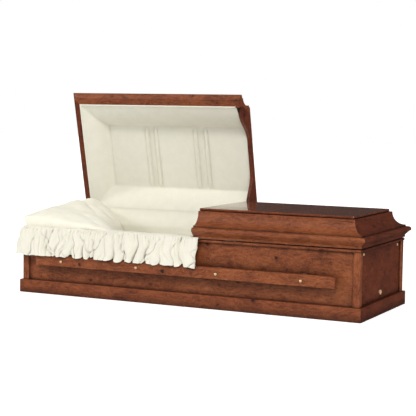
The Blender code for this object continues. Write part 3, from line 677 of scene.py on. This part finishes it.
def pillow():
    """A soft pillow propped on the rim at the head end, its corners pulled out."""
    size = 110
    tops, bottoms = np.zeros((size, size, 3)), np.zeros((size, size, 3))
    for i in range(size):
        u = math.sin((2 * i / (size - 1) - 1) * math.pi / 2)
        for j in range(size):
            v = math.sin((2 * j / (size - 1) - 1) * math.pi / 2)
            x, y, seam = pillow_place(u, v)
            full = max(0.0, (1 - abs(u) ** 2.4) * (1 - abs(v) ** 2.4)) ** 0.5
            fold = billow(v * 2.3 + u * 0.6, u * 0.8, 2.0) - 0.4
            small = billow(v * 5.2 - u * 0.9, u * 1.5, 7.0) - 0.4
            rise = full * PILLOW_RISE * (1 - 0.05 * u + 0.28 * v) + full * (0.014 * fold + 0.006 * small)
            rise += 0.004 * (1 - full) * wander(u * 6, v * 6)
            plump = max(0.0, (1 - abs(u) ** 7) * (1 - abs(v) ** 7)) ** 0.4
            over_rim = ease(max(abs(y) - 0.30, abs(x) - 0.96), 0.0, 0.03)
            rest = between((PILLOW_BED, PILLOW_REST), over_rim)
            bottom = max(seam - PILLOW_THIN - PILLOW_DEPTH * plump, rest)
            bottoms[i, j] = (x, y, bottom)
            tops[i, j] = (x, y, max(seam + rise, bottom + PILLOW_THIN))
    obj = shell_object("pillow_soft", tops, bottoms, cream_pillow)
    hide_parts("pillow")
    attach(obj, "casket")
    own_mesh(obj)


# Overlay: a flat sheet over the rim, a padded roll on it and a gathered ruffle outside

# Distances out are from the line of the post faces. The cloth's front end is beside the foot lid
FRONT_END_X = 0.112
ROLL_END_X = 0.070
HEAD_END_Y = 0.250
CORNER = 0.030
INNER_CORNER = 0.004
HEADING_OUT = 0.0085


def route(distance, start_x):
    """The point and outward direction on the post faces' line at a distance from the front's end."""
    front = start_x + POST_X - CORNER
    if distance <= front:
        return Vector((start_x - distance, -POST_Y, 0)), Vector((0, -1, 0))
    distance -= front
    turn = CORNER * math.pi / 2
    if distance <= turn:
        angle = distance / CORNER
        outward = Vector((-math.sin(angle), -math.cos(angle), 0))
        centre = Vector((-POST_X + CORNER, -POST_Y + CORNER, 0))
        return centre + outward * CORNER, outward
    return Vector((-POST_X, -POST_Y + CORNER + distance - turn, 0)), Vector((-1, 0, 0))


def route_length(start_x):
    return start_x + POST_X - CORNER + CORNER * math.pi / 2 + HEAD_END_Y + POST_Y - CORNER


def corner_place(run, out, start_x):
    """The point at a distance out from the route, with a square corner inside its small inner round."""
    base, outward = route(run, start_x)
    inner = INNER_CORNER - CORNER
    if out >= inner:
        return base + outward * out
    point = base + outward * inner
    spill = out - inner
    if 0 < abs(outward.x) < 1 and 0 < abs(outward.y) < 1:
        return point + outward * spill / max(abs(outward.x), abs(outward.y))
    return point + outward * spill


GATHER_LEVEL = 0.62


def gather_fold(place, pitch):
    """Rounded lobes with sharp valleys between, from -0.62 in a valley to 0.38 on a lobe."""
    return abs(math.sin(math.pi * place / pitch)) ** 0.75 - GATHER_LEVEL


def crease(run, t, seed):
    """A few sharp leaning creases, 1 on the crease and 0 beside it."""
    shift = 0.25 * wander(t * 3.0, run * 4.0, seed)
    return math.exp(-abs(wander(run * 9.0 + shift, t * 0.6, seed)) / 0.085)


RUFFLE_TOP = 0.3840
CORNER_LOWER = 0.0080
CORNER_REACH = 0.045
BROAD_PITCH = 0.088
NARROW_PITCH = 0.057
FINE_PITCH = 0.019
LEAST_OUT = 0.0095
SOFT_OUT = 0.061
MOST_OUT = 0.070
BAR_TOP = 0.2335
BAR_FACE_OUT = 0.0485
HEM_DROP = 0.014


def ruffle_out(run, t, front_end, head_end):
    """How far out the ruffle stands, from t = 0 at its heading to t = 1 at its hem."""
    slide = 0.13 * wander(run * 2.1, 2.0)
    sway = 0.040 * wander(run * 4.3, t * 1.0, 4.0) * ease(t, 0.05, 1.0)
    sway += 0.012 * wander(run * 10.0, t * 2.2, 9.0)
    lean = 0.095 * t * wander(run * 3.0, 6.0)
    broad = gather_fold(run + slide + sway + lean, BROAD_PITCH)
    broad *= 0.85 + 0.6 * wander(run * 6.0, t * 0.9, 3.0)
    narrow = gather_fold(run - 0.6 * slide + 1.2 * sway - lean, NARROW_PITCH)
    narrow *= 0.60 + 0.8 * wander(run * 7.0, t * 1.4, 12.0)
    fine = gather_fold(run + 0.5 * slide + sway, FINE_PITCH)
    creases = crease(run - 0.055 * t, t, 13.0) + crease(run + 0.060 * t, t, 31.0)

    out = 0.0165 + 0.041 * t**0.65 + 0.003 * head_end + 0.008 * front_end * t
    out += (0.005 + 0.023 * t**0.8) * broad + (0.005 + 0.009 * t) * narrow
    out += 0.0075 * (1 - t) ** 2.2 * fine - (0.004 + 0.008 * t) * creases
    out += 0.006 * t * wander(run * 5.0, t * 0.8, 21.0)
    out -= 0.5 * max(0.0, out - SOFT_OUT)
    out = min(max(out, LEAST_OUT), MOST_OUT)
    return between((HEADING_OUT, out), ease(t, -0.06, 0.06))


def ruffle():
    """Gathered cloth that hangs from the rim and flares over the handle bar's top edge."""
    length = route_length(FRONT_END_X)
    front = FRONT_END_X + POST_X
    corner_run = front - CORNER + CORNER * math.pi / 4
    count, levels = 1000, 44
    grid = np.zeros((count, levels, 3))
    for i in range(count):
        run = length * i / (count - 1)
        front_end = 1.0 - ease(run, 0.0, 0.05)
        head_end = ease(run, front - 0.10, front + 0.01)
        outs = [ruffle_out(run, j / (levels - 1), front_end, head_end) for j in range(levels)]
        proud = ease(outs[-1], BAR_FACE_OUT - 0.010, BAR_FACE_OUT + 0.008)
        top = RUFFLE_TOP - CORNER_LOWER * math.exp(-(((run - corner_run) / CORNER_REACH) ** 2))
        drop = HEM_DROP + 0.005 * wander(run * 22.0, 9.0)
        hem = BAR_TOP + 0.005 - drop * max(proud, front_end) - 0.006 * front_end
        for j, out in enumerate(outs):
            t = j / (levels - 1)
            z = between((top, hem), t)
            out = max(out, BAR_FACE_OUT) if z < BAR_TOP else out
            at = max(0.0, run + 0.005 * wander(run * 9.0, t * 3.0, 17.0) * t - 0.004 * front_end)
            base, outward = route(at, FRONT_END_X)
            point = base + outward * out
            grid[i, j] = (point.x, point.y, z)
    obj = sheet_object("overlay_ruffle", grid, cream_ruffle)
    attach(obj, "casket")
    return obj, grid


# The rim sheet's section: the distance out and the height above the rim's top
RIM_SECTION = (
    (HEADING_OUT, 0.0012),
    (0.0000, 0.0017),
    (-0.0160, 0.0017),
    (-0.0320, 0.0017),
    (-0.0460, 0.0017),
    (-0.0515, -0.0015),
    (-0.0535, -0.008),
    (-0.0540, -0.024),
    (-0.0545, -0.044),
    (-0.0550, -0.064),
    (-0.0555, -0.084),
    (-0.0560, -0.104),
)


def rim_sheet():
    """The cloth that the ruffle borders: flat over the rim, then down inside to the mattress."""
    length = route_length(ROLL_END_X)
    count = 420
    grid = np.zeros((count, len(RIM_SECTION), 3))
    for i in range(count):
        run = length * i / (count - 1)
        for j, (out, lift) in enumerate(RIM_SECTION):
            z = RIM_TOP + lift
            hang = ease(-0.004 - lift, 0.0, 0.06)
            wave = 0.004 * (billow(run * 15.0, z * 4.0, 1.0) - 0.2) * hang
            point = corner_place(run, out - wave, ROLL_END_X)
            grid[i, j] = (point.x, point.y, z)
    obj = sheet_object("overlay_sheet", grid, cream)
    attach(obj, "casket")
    return obj, length, grid


ROLL_MIDDLE_OUT = -0.0235
ROLL_HALF_WIDTH = 0.0340
ROLL_HEIGHT = 0.0115
ROLL_BOTTOM = 0.3765
ROLL_GATHER_PITCH = 0.017
ROLL_GATHER_DEPTH = 0.0030


def rim_roll():
    """A padded roll on the rim, gathered along its outer side."""
    length = route_length(ROLL_END_X)
    count, around = 900, 22
    points, faces = [], []
    for i in range(count):
        run = length * i / (count - 1)
        end = min(1.0, math.sqrt(max(0.0, min(run, length - run) / 0.02)) + 0.05)
        puff = 1.0 + 0.25 * wander(run * 9.0, 2.0) + 0.12 * (billow(run * 40.0, 3.0) - 0.4)
        gathers = gather_fold(run + 0.02 * wander(run * 4.0, 8.0), ROLL_GATHER_PITCH)
        for k in range(around):
            angle = 2 * math.pi * k / around
            outer = max(0.0, math.cos(angle) + 0.2) / 1.2
            out = ROLL_MIDDLE_OUT + ROLL_HALF_WIDTH * math.cos(angle) + ROLL_GATHER_DEPTH * gathers * outer
            swell = (puff + 0.45 * gathers * outer) * end
            point = corner_place(run, out, ROLL_END_X)
            points.append((point.x, point.y, ROLL_BOTTOM + ROLL_HEIGHT * swell * max(0.0, math.sin(angle))))
    for i in range(count - 1):
        this, after = i * around, (i + 1) * around
        for k in range(around):
            m = (k + 1) % around
            faces.append((this + k, after + k, after + m, this + m))
    faces.append(tuple(range(around)))
    faces.append(tuple(range((count - 1) * around, count * around))[::-1])
    obj = mesh_object("overlay_roll", points, faces, cream)
    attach(obj, "casket")
    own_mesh(obj)


COVER_Y = 0.3015
COVER_LEAN = 0.0415
COVER_LOW = 0.290
COVER_HEIGHT = 0.161


def back_cover():
    """Cloth along the hinged side, from inside the body up behind the open lid's padding."""
    columns, rows = 260, 30
    low_x, high_x = -POST_X + 0.044, ROLL_END_X
    grid = np.zeros((columns, rows, 3))
    for i in range(columns):
        x = between((low_x, high_x), i / (columns - 1))
        for j in range(rows):
            t = j / (rows - 1)
            z = COVER_LOW + COVER_HEIGHT * t
            lean = ease(z, 0.345, COVER_LOW + COVER_HEIGHT)
            fold = billow(x * 9.0, t * 0.8, 11.0) - 0.3
            belly = 0.004 * math.sin(math.pi * t) * (1 + fold)
            grid[i, j] = (x, COVER_Y + COVER_LEAN * lean - belly, z)
    obj = sheet_object("back_cover", grid, cream_smooth)
    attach(obj, "casket")
    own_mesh(obj)


def overlay():
    hung, hung_grid = ruffle()
    flat, flat_length, flat_grid = rim_sheet()
    rim_roll()
    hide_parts("overlay")


# Floor, light and camera


STAGE_HALF = 30
WALL_HEIGHTS = (-20, 30)
FLOOR_DROP = 0.0005
WORLD_BELOW = 1.02
WORLD_ABOVE = 0.50
WORLD_GLOSSY = 0.05

# Each sun's name, azimuth and elevation in degrees, strength and angular size
SUNS = (
    ("key", 22, 40, 1.10, 0.22),
    ("side", -62, 30, 1.00, 0.2),
    ("fill", 68, 8, 0.50, 0.6),
)

# The camera as fitted to the photograph: its angles in degrees and its lens in millimetres
CAMERA_PLACE = (3.1017, -6.3519, 1.0898)
CAMERA_AZIMUTH = 26.142
CAMERA_ELEVATION = 4.677
CAMERA_ROLL = 0.845
CAMERA_LENS = 108.15


def stage():
    """A pale floor and four white walls, which light nothing and aren't seen in reflections."""
    plan = [(-STAGE_HALF, -STAGE_HALF), (STAGE_HALF, -STAGE_HALF)]
    plan += [(STAGE_HALF, STAGE_HALF), (-STAGE_HALF, STAGE_HALF)]

    n = Nodes("floor_pale")
    cloud = n.noise(n.add("TexCoord").outputs["Object"], 3.0)
    n.put(n.shader.inputs["Base Color"], n.mix(cloud, (0.78, 0.78, 0.78, 1), (0.82, 0.82, 0.82, 1)))
    n.shader.inputs["Roughness"].default_value = 0.9
    n.shader.inputs["Emission Color"].default_value = (1.0, 1.0, 1.0, 1.0)
    n.shader.inputs["Emission Strength"].default_value = 0.60
    floor = mesh_object("floor", [(x, y, -FLOOR_DROP) for x, y in plan], [(0, 1, 2, 3)], n.mat)
    floor.visible_diffuse = floor.visible_glossy = False

    white = Nodes("backdrop_white")
    white.shader.inputs["Base Color"].default_value = (0, 0, 0, 1)
    white.shader.inputs["Specular IOR Level"].default_value = 0.0
    white.shader.inputs["Emission Color"].default_value = (1, 1, 1, 1)
    white.shader.inputs["Emission Strength"].default_value = 1.0
    corners = [(x, y, z) for z in WALL_HEIGHTS for x, y in plan]
    walls = [(k, (k + 1) % 4, 4 + (k + 1) % 4, 4 + k) for k in range(4)]
    wall = mesh_object("backdrop", corners, walls, white.mat)
    wall.visible_diffuse = wall.visible_glossy = wall.visible_shadow = False


def world_light():
    """White surroundings, brighter below than above and dim where they would be mirrored."""
    world = bpy.data.worlds.new("studio")
    bpy.context.scene.world = world
    world.use_nodes = True
    tree = world.node_tree
    background = tree.nodes["Background"]
    background.inputs["Color"].default_value = (1.0, 0.995, 0.985, 1.0)
    way = tree.nodes.new("ShaderNodeTexCoord")
    split = tree.nodes.new("ShaderNodeSeparateXYZ")
    tree.links.new(way.outputs["Generated"], split.inputs[0])
    height = tree.nodes.new("ShaderNodeMapRange")
    height.inputs["From Min"].default_value = -0.3
    height.inputs["From Max"].default_value = 0.3
    height.inputs["To Min"].default_value = WORLD_BELOW
    height.inputs["To Max"].default_value = WORLD_ABOVE
    tree.links.new(split.outputs["Z"], height.inputs["Value"])
    ray = tree.nodes.new("ShaderNodeLightPath")
    level = tree.nodes.new("ShaderNodeMapRange")
    tree.links.new(height.outputs["Result"], level.inputs["To Min"])
    level.inputs["To Max"].default_value = WORLD_GLOSSY
    tree.links.new(ray.outputs["Is Glossy Ray"], level.inputs["Value"])
    tree.links.new(level.outputs["Result"], background.inputs["Strength"])


def suns():
    for name, azimuth, elevation, strength, angle in SUNS:
        sun = bpy.data.lights.new(name, "SUN")
        sun.energy = strength
        sun.angle = angle
        sun.color = (1.0, 0.99, 0.97)
        lamp = bpy.data.objects.new(name, sun)
        turn, rise = math.radians(azimuth), math.radians(elevation)
        shine = Vector((-math.sin(turn) * math.cos(rise), math.cos(turn) * math.cos(rise), -math.sin(rise)))
        lamp.rotation_euler = shine.to_track_quat("-Z", "Y").to_euler()
        bpy.context.scene.collection.objects.link(lamp)


def camera():
    azimuth = math.radians(CAMERA_AZIMUTH)
    elevation = math.radians(CAMERA_ELEVATION)
    roll = math.radians(CAMERA_ROLL)
    level = math.cos(elevation)
    back = Vector((math.sin(azimuth) * level, -math.cos(azimuth) * level, math.sin(elevation)))
    right = Vector((math.cos(azimuth), math.sin(azimuth), 0))
    up = back.cross(right)
    turned_right = math.cos(roll) * right + math.sin(roll) * up
    turned_up = -math.sin(roll) * right + math.cos(roll) * up
    data = bpy.data.cameras.new("camera")
    data.lens = CAMERA_LENS
    data.sensor_width = 36.0
    data.clip_end = 60.0
    obj = bpy.data.objects.new("camera", data)
    bpy.context.scene.collection.objects.link(obj)
    turn = Matrix((turned_right, turned_up, back)).transposed().to_4x4()
    obj.matrix_world = Matrix.Translation(CAMERA_PLACE) @ turn
    bpy.context.scene.camera = obj


camera()
stage()
world_light()
suns()
bpy.context.scene.view_settings.view_transform = "Standard"
dress_frame()
lid_lining("head")
lid_lining("foot")
body_lining()
mattress()
pillow()
overlay()
back_cover()
